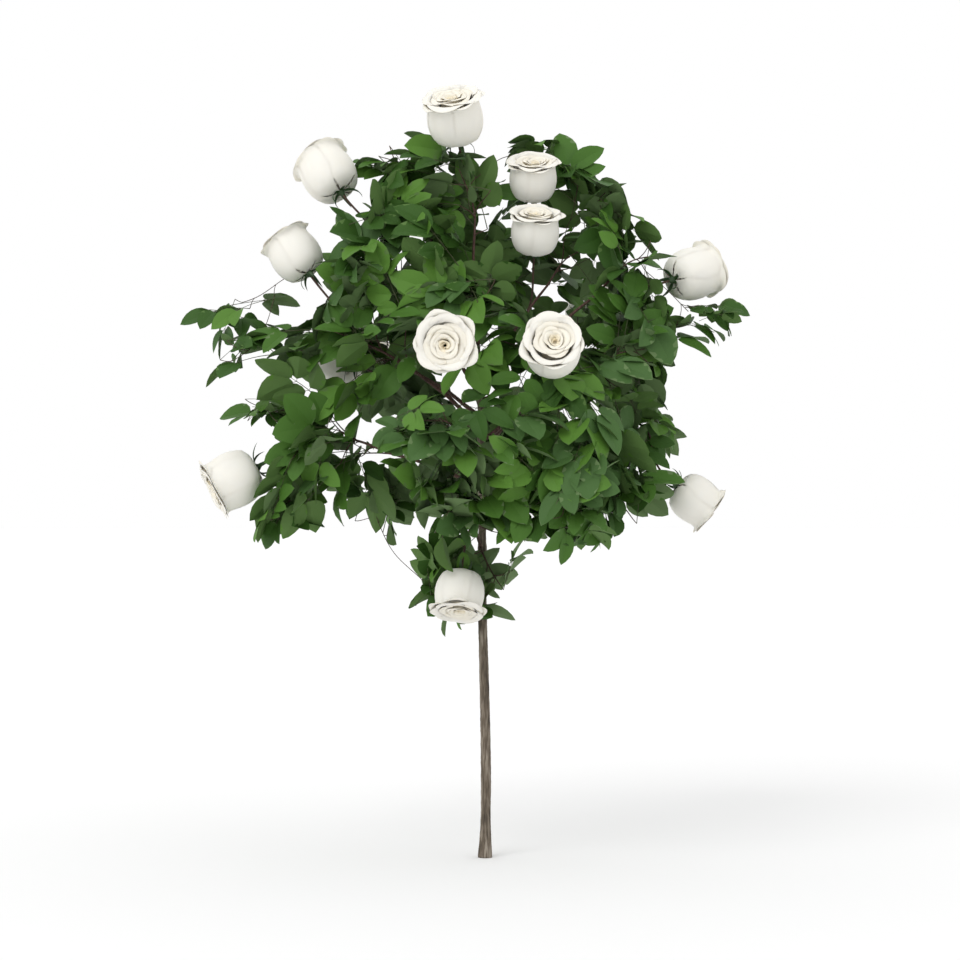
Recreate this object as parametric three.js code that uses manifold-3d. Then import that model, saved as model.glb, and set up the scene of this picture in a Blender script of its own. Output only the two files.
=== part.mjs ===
// A half-standard rose bush: one slender bare stem, a fan of arching boughs, an open crown made of
// separate masses of foliage, and large double white blooms on stalks.
// Millimetres, +Z up. The origin is the centre of the flat cut under the stem, at ground level.
// +X is to the plant's right and -Y is its front.
import * as THREE from "three";
import { mergeVertices } from "three/addons/utils/BufferGeometryUtils.js";
import Module from "manifold-3d";

const wasm = await Module();
wasm.setup();

// ---------------------------------------------------------------- driving sizes
const STEM = {
  height: 862, // ground to the fork
  footRadius: 9.6,
  forkRadius: 5,
  taperPower: 1.5, // above 1, most of the taper is in the upper half
  flare: 3.6, // how far the root flare stands out at the ground
  flareHeight: 16, // the height over which most of the flare dies away
  lean: -10, // sideways drift of the fork
  wave: 2, // slight sideways wave
  waveLength: 620,
  sway: 6, // front-to-back swell
  sides: 10,
  rings: 6,
};
const BOUGH = { sides: 5, rings: 3, tipShare: 0.5, arch: 34 };
const MASS = { detail: 2, bump: 0.12, ripple: 0.08, narrowing: 0.16 };
const CUP = {
  height: 92, // base of the cup to its rim
  belly: 50, // radius at the widest part of the ball
  rim: 54, // mean radius of the rolled rim
  rimLobes: 5,
  lobeDepth: 0.07,
  stalkRadius: 2.3,
  around: 9,
};
const CLEARANCE = 0.4; // between touching pieces

// ---------------------------------------------------------------- the plant's layout
// Masses of foliage: x, y, z of the middle, and half the width, depth and height of each.
// bough names the limb that feeds it, if a main one does: [height on the stem, radius at the stem].
const MASSES = [
  // top of the crown
  { name: "top_left", at: [-152, 50, 1252], half: [84, 74, 72], bough: [852, 3.6] },
  { name: "top_centre", at: [-28, -5, 1190], half: [78, 72, 98], bough: [860, 3.8] },
  { name: "top_right", at: [112, 118, 1274], half: [92, 60, 66] },
  { name: "top_right_outer", at: [204, 50, 1186], half: [68, 60, 58] },
  { name: "right_shoulder", at: [159, 95, 1088], half: [68, 74, 70], bough: [846, 3.8] },
  // upper ring
  { name: "upper_left", at: [-204, -36, 1098], half: [108, 92, 94], bough: [828, 4.4] },
  { name: "upper_centre", at: [-14, -104, 972], half: [112, 108, 124] },
  { name: "upper_right", at: [267, -20, 1062], half: [86, 74, 72], bough: [812, 4.2] },
  { name: "back_top", at: [-10, 182, 1066], half: [138, 136, 114] },
  // middle ring
  { name: "left_tip_high", at: [-428, 22, 1008], half: [120, 52, 64] },
  { name: "left_tip_low", at: [-432, -58, 908], half: [98, 48, 34] },
  { name: "left_mid", at: [-212, -52, 922], half: [100, 124, 94], bough: [770, 4.6] },
  { name: "right_front_high", at: [96, -160, 880], half: [92, 80, 80] },
  { name: "right_mid", at: [246, -36, 898], half: [76, 112, 78], bough: [748, 4.4] },
  { name: "right_tip", at: [384, 20, 968], half: [86, 58, 40] },
  { name: "back_left", at: [-214, 222, 914], half: [138, 142, 124], bough: [790, 4.4] },
  { name: "back_right", at: [214, 222, 930], half: [138, 142, 124], bough: [732, 4.4] },
  // lower ring
  { name: "centre_front", at: [-66, -258, 776], half: [118, 84, 86], bough: [700, 4.0] },
  { name: "left_shoulder", at: [-405, 80, 806], half: [84, 52, 36] },
  { name: "left_low", at: [-263, -66, 740], half: [118, 122, 92], bough: [664, 4.2] },
  { name: "right_front", at: [160, -205, 774], half: [98, 78, 74] },
  { name: "right_low", at: [282, 60, 782], half: [74, 96, 58] },
  { name: "low_right", at: [242, -90, 650], half: [82, 84, 80], bough: [640, 4.0] },
  { name: "low_right_front", at: [126, -232, 640], half: [80, 66, 86] },
  { name: "back_low", at: [-12, 226, 752], half: [144, 140, 110], bough: [612, 4.0] },
  { name: "left_droop", at: [-345, -60, 642], half: [84, 54, 66] },
  { name: "low_left_droop", at: [-198, 112, 626], half: [80, 78, 82] },
  { name: "centre_low", at: [-42, -150, 634], half: [124, 86, 84], bough: [552, 3.2] },
  // the skirt round the stem
  { name: "bottom_right", at: [16, -36, 512], half: [80, 66, 64] },
  { name: "bottom_left", at: [-96, -20, 474], half: [54, 46, 68] },
];

// Blooms: the middle of the cup, the way it faces, its size against the standard cup, and its stalk.
const BLOOMS = [
  { name: "bloom_top", at: [-54, -26, 1328], faces: [-0.14, -0.5, 0.85], scale: 1.06, stalk: 90 },
  { name: "bloom_upper_left", at: [-284, 30, 1234], faces: [-0.5, 0.42, 0.72], scale: 1.04, stalk: 80 },
  { name: "bloom_left", at: [-341, -10, 1084], faces: [-0.57, 0.26, 0.77], scale: 0.96, stalk: 90 },
  { name: "bloom_upper_right", at: [87, 20, 1225], faces: [0, -0.48, 0.88], scale: 0.9, stalk: 70 },
  { name: "bloom_inner_right", at: [89, -60, 1121], faces: [0.04, -0.44, 0.9], scale: 0.9, stalk: 80 },
  { name: "bloom_right", at: [376, 30, 1053], faces: [0.8, 0.5, 0.28], scale: 1.0, stalk: 90 },
  { name: "bloom_front", at: [-65, -300, 909], faces: [-0.03, -1, -0.02], scale: 1.0, stalk: 130 },
  { name: "bloom_front_right", at: [114, -270, 900], faces: [-0.04, -0.93, 0.33], scale: 1.0, stalk: 130 },
  { name: "bloom_lower_left", at: [-448, -65, 678], faces: [-0.85, -0.2, -0.46], scale: 1.06, stalk: 80 },
  { name: "bloom_lower_right", at: [378, -10, 643], faces: [0.78, 0.06, -0.58], scale: 0.9, stalk: 100 },
  { name: "bloom_bottom", at: [-45, -112, 478], faces: [-0.08, -0.42, -0.9], scale: 0.92, stalk: 60 },
  { name: "bloom_hidden_left", at: [-268, 80, 903], faces: [-0.72, 0.5, 0.3], scale: 0.95, stalk: 90 },
  { name: "bloom_back", at: [60, 408, 800], faces: [0.1, 0.97, -0.1], scale: 1.0, stalk: 120 },
  { name: "bloom_back_left", at: [-190, 376, 890], faces: [-0.4, 0.85, 0.2], scale: 0.98, stalk: 100 },
  { name: "bloom_back_right", at: [205, 345, 1012], faces: [0.4, 0.7, 0.55], scale: 0.98, stalk: 90 },
];

const FINISH = {
  bark: { color: 0x6e6257, roughness: 0.9 },
  cane: { color: 0x6a4a3c, roughness: 0.8 },
  foliage: { color: 0x3b5a2c, roughness: 0.65 },
  petal: { color: 0xefece2, roughness: 0.6 },
};

// ---------------------------------------------------------------- solids
const vector = (list) => new THREE.Vector3(...list);

/** A closed three.js geometry as a manifold solid. */
function solidOf(geometry) {
  const bare = geometry.clone();
  for (const name of Object.keys(bare.attributes)) {
    if (name !== "position") bare.deleteAttribute(name);
  }
  const merged = mergeVertices(bare, 1e-3);
  return new wasm.Manifold(
    new wasm.Mesh({
      numProp: 3,
      vertProperties: merged.attributes.position.array,
      triVerts: new Uint32Array(merged.index.array),
    }),
  );
}

/** A manifold solid back as a three.js geometry. */
function geometryOf(solid) {
  const mesh = solid.getMesh();
  const positions = new Float32Array(mesh.numVert * 3);
  for (let i = 0; i < mesh.numVert; i++) {
    positions.set(mesh.vertProperties.subarray(i * mesh.numProp, i * mesh.numProp + 3), i * 3);
  }
  const geometry = new THREE.BufferGeometry();
  geometry.setAttribute("position", new THREE.BufferAttribute(positions, 3));
  geometry.setIndex(new THREE.BufferAttribute(mesh.triVerts, 1));
  geometry.computeVertexNormals();
  return geometry;
}

/** The piece of a cut solid that lies nearest to a point. */
function pieceNear(solid, point) {
  const gap = (piece) => {
    const box = piece.boundingBox();
    return new THREE.Box3(vector(box.min), vector(box.max)).distanceToPoint(point);
  };
  const pieces = solid.decompose().filter((piece) => piece.volume() > 100);
  return pieces.sort((a, b) => gap(a) - gap(b) || b.volume() - a.volume())[0];
}

/** The largest piece of a cut solid. */
function largestPiece(solid) {
  return solid.decompose().sort((a, b) => b.volume() - a.volume())[0];
}

/** A lathe of radiusAt(share) bent along a curve: a round limb that tapers, with flat ends. */
function limbGeometry(curve, radiusAt, sides, rings) {
  const profile = [new THREE.Vector2(0, 0)];
  for (let i = 0; i <= rings; i++) profile.push(new THREE.Vector2(radiusAt(i / rings), i / rings));
  profile.push(new THREE.Vector2(0, 1));
  const lathe = new THREE.LatheGeometry(profile, sides);
  const frames = curve.computeFrenetFrames(rings, false);
  const place = lathe.attributes.position;
  for (let i = 0; i < place.count; i++) {
    const ring = Math.round(place.getY(i) * rings);
    const point = curve
      .getPointAt(ring / rings)
      .addScaledVector(frames.normals[ring], place.getX(i))
      .addScaledVector(frames.binormals[ring], -place.getZ(i));
    place.setXYZ(i, point.x, point.y, point.z);
  }
  return lathe;
}

// ---------------------------------------------------------------- stem and boughs
/** The middle of the stem at a height: a slow lean to one side, with a slight wave. */
function stemMiddle(height) {
  const share = height / STEM.height;
  const wave = STEM.wave * Math.sin((2 * Math.PI * height) / STEM.waveLength);
  return new THREE.Vector3(STEM.lean * share ** 2 + wave, STEM.sway * Math.sin(Math.PI * share), height);
}

/** The stem's radius at a share of its height: a smooth taper, with the root flare at the ground. */
function stemRadius(share) {
  const taper = THREE.MathUtils.lerp(STEM.footRadius, STEM.forkRadius, share ** STEM.taperPower);
  return taper + STEM.flare * Math.exp((-share * STEM.height) / STEM.flareHeight);
}

/** The stem's own line. Its ends stand upright, so that the cut at the ground is level. */
class StemCurve extends THREE.Curve {
  getPoint(share, target = new THREE.Vector3()) {
    return target.copy(stemMiddle(share * STEM.height));
  }

  // Rings are closer together at the foot, where the flare is.
  getPointAt(share, target) {
    return this.getPoint(share ** 1.6, target);
  }

  getTangentAt() {
    return new THREE.Vector3(0, 0, 1);
  }
}

function stemSolid(extra = 0) {
  const radius = (share) => stemRadius(share ** 1.6) + extra;
  return solidOf(limbGeometry(new StemCurve(), radius, STEM.sides, STEM.rings));
}

/** The line of a bough: out of the stem and upwards, then over and into the mass that it feeds. */
function boughCurve({ at, bough }) {
  const [height] = bough;
  const start = stemMiddle(Math.min(height, STEM.height));
  const end = vector(at);
  const knee = start.clone().lerp(end, 0.45);
  knee.z = Math.max(start.z, knee.z) + BOUGH.arch * Math.min(1, start.distanceTo(end) / 250);
  return new THREE.QuadraticBezierCurve3(start, knee, end);
}

function boughSolid(mass, extra = 0) {
  const thick = mass.bough[1];
  const radius = (share) => THREE.MathUtils.lerp(thick, thick * BOUGH.tipShare, share) + extra;
  return solidOf(limbGeometry(boughCurve(mass), radius, BOUGH.sides, BOUGH.rings));
}

// ---------------------------------------------------------------- foliage
/** One uneven mass: a ball with its own bumps, narrowed away from the stem, fitted to its half sizes. */
function massSolid({ at, half }, index, extra = 0) {
  const ball = new THREE.IcosahedronGeometry(1, MASS.detail);
  const place = ball.attributes.position;
  const outward = new THREE.Vector3(at[0], at[1], 0).normalize();
  const point = new THREE.Vector3();
  for (let i = 0; i < place.count; i++) {
    point.fromBufferAttribute(place, i);
    const turn = Math.atan2(point.y, point.x);
    const flat = Math.hypot(point.x, point.y);
    const bump = MASS.bump * flat * Math.sin(3 * turn + 2.1 * index);
    const waves = Math.sin(4 * point.z + 1.7 * index) + flat * Math.cos(5 * turn + index);
    const ripple = MASS.ripple * waves;
    const narrow = 1 - MASS.narrowing * Math.max(0, point.dot(outward));
    point.multiplyScalar(1 + bump + ripple);
    point.z *= narrow;
    place.setXYZ(i, point.x, point.y, point.z);
  }
  ball.computeBoundingBox();
  const box = ball.boundingBox;
  const middle = box.getCenter(new THREE.Vector3());
  const span = box.getSize(new THREE.Vector3());
  ball.translate(-middle.x, -middle.y, -middle.z);
  ball.scale(...["x", "y", "z"].map((axis, i) => (2 * (half[i] + extra)) / span[axis]));
  ball.translate(...at);
  return solidOf(ball);
}

// ---------------------------------------------------------------- blooms
/** One double bloom: a round-based cup with a rolled, lobed rim and a dished face, on its stalk. */
function bloomSolid({ at, faces, scale, stalk }, extra = 0, withStalk = true) {
  const { height, belly, rim, stalkRadius } = CUP;
  const profile = [];
  if (withStalk) profile.push([0, -stalk], [stalkRadius, -stalk], [stalkRadius, 0]);
  else profile.push([0, 0]);
  profile.push(
    [0.56 * belly, 0.04 * height],
    [0.94 * belly, 0.25 * height],
    [belly, 0.56 * height],
    [rim, 0.93 * height],
    [0.84 * rim, height],
    [0, 0.9 * height],
  );
  const points = profile.map(([r, y]) => new THREE.Vector2(r, y));
  const cup = new THREE.LatheGeometry(points, CUP.around);
  const place = cup.attributes.position;
  for (let i = 0; i < place.count; i++) {
    const [x, y, z] = [place.getX(i), place.getY(i), place.getZ(i)];
    const nearRim = THREE.MathUtils.smoothstep(y, 0.7 * height, 0.93 * height);
    const swell = 1 + CUP.lobeDepth * nearRim * Math.cos(CUP.rimLobes * Math.atan2(z, x) + at[0]);
    place.setXYZ(i, x * swell, y, z * swell);
  }
  cup.translate(0, -height / 2, 0);
  cup.scale(scale, scale, scale);
  if (extra) {
    const grow = 1 + (2 * extra) / (belly * scale);
    cup.scale(grow, grow, grow);
  }
  const upwards = new THREE.Vector3(0, 1, 0);
  const turn = new THREE.Quaternion().setFromUnitVectors(upwards, vector(faces).normalize());
  cup.applyQuaternion(turn).translate(...at);
  return solidOf(cup);
}

// ---------------------------------------------------------------- assembly
const fed = MASSES.filter((mass) => mass.bough);
const stem = stemSolid();
const stemRoom = stemSolid(CLEARANCE);
const cupRooms = BLOOMS.map((bloom) => bloomSolid(bloom, 2, false));
const massRooms = MASSES.map((mass, i) => massSolid(mass, i, 3 * CLEARANCE));

// Boughs: cut clear of the stem, of the boughs before them and of their own mass, where they end.
const boughs = new Map();
const boughRooms = new Map();
for (const mass of fed) {
  let limb = boughSolid(mass).subtract(stemRoom).subtract(massRooms[MASSES.indexOf(mass)]);
  for (const room of boughRooms.values()) limb = limb.subtract(room);
  for (const room of cupRooms) limb = limb.subtract(room);
  boughs.set(mass.name, pieceNear(limb, stemMiddle(Math.min(mass.bough[0], STEM.height))));
  boughRooms.set(mass.name, boughSolid(mass, 3 * CLEARANCE));
}

// Masses: cut round the stem, the cups, the boughs that pass through and the masses before them.
const masses = MASSES.map((mass, i) => {
  let leafy = massSolid(mass, i).subtract(stemRoom);
  for (const room of cupRooms) leafy = leafy.subtract(room);
  for (const [name, room] of boughRooms) if (name !== mass.name) leafy = leafy.subtract(room);
  for (const room of massRooms.slice(0, i)) leafy = leafy.subtract(room);
  return largestPiece(leafy);
});

// Blooms: each keeps its whole cup, and its stalk ends where it enters the leaves or meets a bough.
const blooms = BLOOMS.map((bloom) => {
  let flower = bloomSolid(bloom).subtract(stemRoom);
  for (const room of [...massRooms, ...boughRooms.values()]) {
    flower = flower.subtract(room.subtract(bloomSolid(bloom, 0.5, false)));
  }
  return largestPiece(flower);
});

/** Adds one named mesh to the plant. */
function addPiece(plant, name, solid, finish) {
  const material = new THREE.MeshStandardMaterial({ ...finish, metalness: 0 });
  const mesh = new THREE.Mesh(geometryOf(solid), material);
  mesh.name = name;
  plant.add(mesh);
}

const plant = new THREE.Group();
plant.name = "rose_bush";
addPiece(plant, "stem", stem, FINISH.bark);
for (const [name, solid] of boughs) addPiece(plant, `bough_${name}`, solid, FINISH.cane);
MASSES.forEach(({ name }, i) => addPiece(plant, `leaves_${name}`, masses[i], FINISH.foliage));
BLOOMS.forEach(({ name }, i) => addPiece(plant, name, blooms[i], FINISH.petal));

export default plant;
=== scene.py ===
"""A rose grown as a small tree, with bark, boughs, twigs, leaves and large white blooms.

Everything is in metres, +Z up, with the origin at the flat cut under the stem. The stem, the boughs, the
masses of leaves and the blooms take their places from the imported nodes. Twigs and leaves grow from the limbs
by a seeded rule.
"""

import logging
from dataclasses import dataclass, field
from enum import Enum
from functools import partial
from typing import NamedTuple

import bpy
import numpy as np
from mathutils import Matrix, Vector
from mathutils.bvhtree import BVHTree


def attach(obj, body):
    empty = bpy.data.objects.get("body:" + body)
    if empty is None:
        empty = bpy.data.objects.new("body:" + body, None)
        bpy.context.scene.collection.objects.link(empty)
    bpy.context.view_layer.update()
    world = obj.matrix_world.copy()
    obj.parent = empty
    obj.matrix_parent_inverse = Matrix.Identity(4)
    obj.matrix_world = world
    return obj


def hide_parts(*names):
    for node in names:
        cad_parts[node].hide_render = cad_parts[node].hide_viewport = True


Array = np.ndarray
Rng = np.random.Generator
Triple = tuple[float, float, float]

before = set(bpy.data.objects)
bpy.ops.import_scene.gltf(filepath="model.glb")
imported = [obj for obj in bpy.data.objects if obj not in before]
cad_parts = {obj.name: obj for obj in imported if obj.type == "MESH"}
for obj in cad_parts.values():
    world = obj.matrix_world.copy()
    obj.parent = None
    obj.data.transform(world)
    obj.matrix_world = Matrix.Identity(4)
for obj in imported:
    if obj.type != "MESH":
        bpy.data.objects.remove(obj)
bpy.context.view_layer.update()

log = logging.getLogger("rose")
SEED = 41
MM = 0.001
UP = np.array([0.0, 0.0, 1.0])
GOLDEN_ANGLE = np.pi * (3 - np.sqrt(5))
BODY = "root"
CLEAR_STEM = 0.53  # metres of the stem, from the ground, that bear nothing
STEEP = 0.9  # the upright part of a unit direction that counts as steep


# ------------------------ arithmetic
def unit(vectors: Array) -> Array:
    """Returns the vectors at length one, along the last axis."""
    length = np.linalg.norm(vectors, axis=-1, keepdims=True)
    return vectors / np.maximum(length, 1e-12)


def dot(first: Array, second: Array) -> Array:
    """Returns the dot products along the last axis, which is kept."""
    return (first * second).sum(axis=-1, keepdims=True)


def smooth(values: Array | float, low: float, high: float) -> Array:
    """Returns 0 below low, 1 above high and the cubic 3t^2 - 2t^3 between them."""
    share = np.clip((values - low) / (high - low), 0, 1)
    return share * share * (3 - 2 * share)


def eased(at: Array, knots: Array, values: Array) -> Array:
    """Reads a smooth curve through known values.

    Between two knots it is the cubic that meets both values and both slopes, and a knot's slope is the mean
    slope of its neighbours.

    Args:
        at: where to read the curve, of any shape.
        knots: rising positions of the known values.
        values: the known values, one row per knot.

    Returns:
        The curve's values, shaped as at, followed by the shape of one value.
    """
    knots, values = np.asarray(knots, float), np.asarray(values, float)
    slopes = np.gradient(values, knots, axis=0)
    place = np.clip(np.searchsorted(knots, at, side="right") - 1, 0, len(knots) - 2)
    width = knots[place + 1] - knots[place]
    share = (at - knots[place]) / width
    extra = (1,) * (values.ndim - 1)
    share, width = share.reshape(share.shape + extra), width.reshape(width.shape + extra)
    square, cube = share**2, share**3
    return (
        (2 * cube - 3 * square + 1) * values[place]
        + (cube - 2 * square + share) * width * slopes[place]
        + (3 * square - 2 * cube) * values[place + 1]
        + (cube - square) * width * slopes[place + 1]
    )


def line_through(points: Array, rings: int) -> Array:
    """Returns evenly spaced points on the smooth line through the given points."""
    points = np.asarray(points, float)
    gaps = np.linalg.norm(np.diff(points, axis=0), axis=1)
    along = np.concatenate([[0], np.cumsum(np.maximum(gaps, 1e-6))])
    fine = eased(np.linspace(0, along[-1], 8 * rings), along, points)
    gaps = np.linalg.norm(np.diff(fine, axis=0), axis=1)
    along = np.concatenate([[0], np.cumsum(gaps)])
    wanted = np.linspace(0, along[-1], rings)
    return np.stack([np.interp(wanted, along, fine[:, axis]) for axis in range(3)], axis=1)


def bezier(corners: Array, steps: int) -> Array:
    """Samples cubic curves, each the Bernstein-weighted mean of its four corners.

    Args:
        corners: the corners, (count, 4, 3).
        steps: how many points to take on each.

    Returns:
        The points, (count, steps, 3).
    """
    t = np.linspace(0, 1, steps)
    weights = np.stack([(1 - t) ** 3, 3 * t * (1 - t) ** 2, 3 * t * t * (1 - t), t**3], axis=1)
    return np.einsum("sk,nkd->nsd", weights, corners)


def draws(rng: Rng, count: int, low: float, high: float) -> Array:
    """Draws one number for each of count surfaces, in a shape that spreads over their grids."""
    return rng.uniform(low, high, (count, 1, 1))


def turned(vectors: Array, axes: Array, angles: Array) -> Array:
    """Turns vectors about unit axes: the part across the axis goes round it, and the part along it stays."""
    angles = np.asarray(angles)[..., None]
    along = dot(vectors, axes) * axes
    return along + (vectors - along) * np.cos(angles) + np.cross(axes, vectors) * np.sin(angles)


def square_to(directions: Array) -> Array:
    """Returns unit vectors square to unit directions, and level where the directions aren't steep."""
    hint = np.where(np.abs(directions[..., 2:]) < STEEP, UP, [1.0, 0.0, 0.0])
    return unit(np.cross(hint, directions))


def point_at(lines: Array, share: float) -> tuple[Array, Array]:
    """Reads lines part of the way along.

    Args:
        lines: one line or more, (..., rings, 3).
        share: how far along, from 0 at the base to 1 at the tip.

    Returns:
        The points there, and the lines' unit directions.
    """
    last = lines.shape[-2] - 1
    ring = share * last
    low = int(min(ring, last - 1))
    step = lines[..., low + 1, :] - lines[..., low, :]
    return lines[..., low, :] + step * (ring - low), unit(step)


def best_start(
    line: Array, tangents: Array, target: Array, cost: float, favour: float
) -> tuple[int, float]:
    """Picks the point of the wood from which a branch would grow: near its target and leading there.

    Args:
        line: the points of the wood.
        tangents: its unit direction at each.
        target: where the branch should go.
        cost: what a metre counts for where the wood runs square to the way there.
        favour: how much less it counts for where the wood leads straight there.

    Returns:
        The number of the point, and its distance from the target.
    """
    away = target - line
    distance = np.linalg.norm(away, axis=1)
    lead = (unit(away) * tangents).sum(axis=1)
    best = (distance * (cost - favour * lead)).argmin()
    return best, distance[best]


# ------------------------ shader nodes
class Wire:
    """A shader socket that takes part in Python arithmetic: each operation adds its Math node."""

    def __init__(self, graph: "Graph", socket: bpy.types.NodeSocket) -> None:
        """Keeps the graph that the socket is in."""
        self.graph = graph
        self.socket = socket

    def _math(self, operation: str, *values: "Wire | float") -> "Wire":
        """Returns the output of one Math node."""
        return self.graph.add("ShaderNodeMath", {"operation": operation}, *values)

    def __add__(self, other: "Wire | float") -> "Wire":
        """Adds."""
        return self._math("ADD", self, other)

    def __radd__(self, other: float) -> "Wire":
        """Adds to a number."""
        return self._math("ADD", other, self)

    def __rsub__(self, other: float) -> "Wire":
        """Takes the socket's value from a number."""
        return self._math("SUBTRACT", other, self)

    def __mul__(self, other: "Wire | float") -> "Wire":
        """Multiplies."""
        return self._math("MULTIPLY", self, other)


class Graph:
    """The node tree of one new material, with a Principled shader."""

    def __init__(self, name: str) -> None:
        """Starts an otherwise empty material."""
        self.material = bpy.data.materials.new(name)
        self.material.use_nodes = True
        self.nodes = self.material.node_tree.nodes
        self.shader = self.nodes["Principled BSDF"]

    def _join(self, target: bpy.types.NodeSocket, value: object) -> None:
        """Links a wire to a socket, or sets the socket to a plain value."""
        if isinstance(value, Wire):
            self.material.node_tree.links.new(value.socket, target)
        else:
            target.default_value = value

    def add(self, kind: str, settings: dict, *ordered: object, take: str = "", **named: object) -> Wire:
        """Adds a node.

        Args:
            kind: the node's type.
            settings: the node's own settings; stops is a ramp's list of (position, colour).
            ordered: values or wires for its first sockets, in order.
            take: the name of the output that is wanted, or the first one that is on.
            named: values or wires by socket name, with _ for a space.

        Returns:
            The wanted output.
        """
        node = self.nodes.new(kind)
        for key, value in settings.items():
            if key == "stops":
                for number, (position, colour) in enumerate(value):
                    elements = node.color_ramp.elements
                    stop = elements[number] if number < 2 else elements.new(position)
                    stop.position = position
                    stop.color = (*colour, 1.0)
            else:
                setattr(node, key, value)
        for socket, value in zip(node.inputs, ordered):
            self._join(socket, value)
        for name, value in named.items():
            self._join(node.inputs[name.replace("_", " ")], value)
        outputs = [socket for socket in node.outputs if socket.enabled]
        return Wire(self, node.outputs[take] if take else outputs[0])

    def place(self, scale: Triple) -> Wire:
        """Returns Object coordinates, scaled along each axis."""
        coordinates = self.add("ShaderNodeTexCoord", {}, take="Object")
        return self.add("ShaderNodeMapping", {}, Vector=coordinates, Scale=scale)

    def noise(self, place: Wire, scale: float, detail: float = 4.0) -> Wire:
        """Returns smooth noise from 0 to 1 at a place."""
        return self.add("ShaderNodeTexNoise", {}, Vector=place, Scale=scale, Detail=detail)

    def bump(self, height: Wire, strength: float, distance: float) -> Wire:
        """Returns the normal of a surface raised by height."""
        return self.add("ShaderNodeBump", {}, Strength=strength, Distance=distance, Height=height)

    def finish(self, **sockets: object) -> bpy.types.Material:
        """Sets the shader's sockets, by name with _ for a space, and returns the material."""
        for name, value in sockets.items():
            self._join(self.shader.inputs[name.replace("_", " ")], value)
        return self.material


# ------------------------ finishes
@dataclass(frozen=True)
class BarkFinish:
    """Bark with lengthwise fissures: darker where it is split and lighter on the ridges between."""

    name: str
    dark: Triple
    mid: Triple
    light: Triple
    across: float  # fissures to the metre, round the limb
    along: float  # the same, along the limb
    patch: float = 42.0  # broad patches to the metre
    shares: tuple[float, float] = (0.72, 0.28)  # of the fissures and of the patches in the colour

    def make(self) -> bpy.types.Material:
        """Builds the material."""
        graph = Graph(self.name)
        grain = graph.noise(graph.place((self.across, self.across, self.along)), 1.0, 6.0)
        patches = graph.noise(graph.place((1.0, 1.0, 0.5)), self.patch, 3.0)
        mixed = grain * self.shares[0] + patches * self.shares[1]
        stops = [(0.34, self.dark), (0.66, self.light), (0.5, self.mid)]
        colour = graph.add("ShaderNodeValToRGB", {"stops": stops}, Fac=mixed, take="Color")
        return graph.finish(
            Base_Color=colour,
            Roughness=0.95 - grain * 0.2,
            Normal=graph.bump(grain, 0.55, 0.0012),
        )


@dataclass(frozen=True)
class LeafFinish:
    """One plain green of a leaf's skin, with a fine net of veins in its relief and sheen."""

    name: str
    colour: Triple
    roughness: float
    relief: float
    veins: float = 520.0  # to the metre

    def make(self) -> bpy.types.Material:
        """Builds the material."""
        graph = Graph(self.name)
        net = graph.noise(graph.place((1.0, 1.0, 1.0)), self.veins, 3.0)
        return graph.finish(
            Base_Color=(*self.colour, 1.0),
            Roughness=self.roughness + net * 0.16,
            Specular_IOR_Level=0.22,
            Normal=graph.bump(net, self.relief, 0.0006),
        )


@dataclass(frozen=True)
class PetalFinish:
    """A velvety petal with faint streaks that run from its base to its rim."""

    name: str
    colour: Triple
    glow: float = 0.3
    streaks: Triple = (26.0, 2.2, 1.0)  # across a petal, along it and through it

    def make(self) -> bpy.types.Material:
        """Builds the material."""
        graph = Graph(self.name)
        across = graph.add("ShaderNodeUVMap", {"uv_map": "petal"}, take="UV")
        place = graph.add("ShaderNodeMapping", {}, Vector=across, Scale=self.streaks)
        streak = graph.noise(place, 1.0, 3.0)
        return graph.finish(
            Base_Color=(*self.colour, 1.0),
            Roughness=0.52 + streak * 0.18,
            Specular_IOR_Level=0.3,
            Subsurface_Weight=self.glow,
            Subsurface_Radius=(1.0, 0.9, 0.75),
            Subsurface_Scale=0.003,
            Normal=graph.bump(streak, 0.25, 0.0006),
        )


@dataclass(frozen=True)
class PlainFinish:
    """A plain matt surface with slight unevenness, as a floor has."""

    name: str
    colour: Triple
    roughness: float
    grain: float  # noise to the metre
    relief: float

    def make(self) -> bpy.types.Material:
        """Builds the material."""
        graph = Graph(self.name)
        grain = graph.noise(graph.place((1.0, 1.0, 1.0)), self.grain, 3.0)
        return graph.finish(
            Base_Color=(*self.colour, 1.0),
            Roughness=self.roughness + grain * 0.1,
            Normal=graph.bump(grain, self.relief, 0.0006),
        )


STEM_BARK = BarkFinish(
    "stem_bark", (0.026, 0.019, 0.013), (0.125, 0.098, 0.070), (0.30, 0.26, 0.21), across=260.0, along=30.0
)
BOUGH_BARK = BarkFinish(
    "bough_bark", (0.028, 0.014, 0.011), (0.085, 0.043, 0.032), (0.15, 0.09, 0.066), across=520.0, along=60.0
)
TWIG_BARK = BarkFinish(
    "twig_bark", (0.022, 0.013, 0.009), (0.062, 0.033, 0.022), (0.10, 0.066, 0.038), across=620.0, along=90.0
)
LEAF_STALK = PlainFinish("leaf_stalk", (0.055, 0.062, 0.022), roughness=0.55, grain=900.0, relief=0.3)
FLOOR_PAINT = PlainFinish("floor_paint", (0.88, 0.88, 0.88), roughness=0.85, grain=60.0, relief=0.02)
CALYX_GREEN = PlainFinish("calyx_green", (0.022, 0.058, 0.014), roughness=0.5, grain=700.0, relief=0.3)


class Tone(Enum):
    """The greens of the leaves, dealt out spray by spray, and how often each comes."""

    DEEP = ((0.032, 0.088, 0.011), 0.26)
    MID = ((0.053, 0.134, 0.017), 0.34)
    FRESH = ((0.082, 0.190, 0.025), 0.22)
    BLUISH = ((0.054, 0.120, 0.030), 0.18)

    @property
    def colour(self) -> Triple:
        """The upper skin's colour."""
        return self.value[0]

    @property
    def share(self) -> float:
        """The share of the sprays that have it."""
        return self.value[1]


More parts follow.
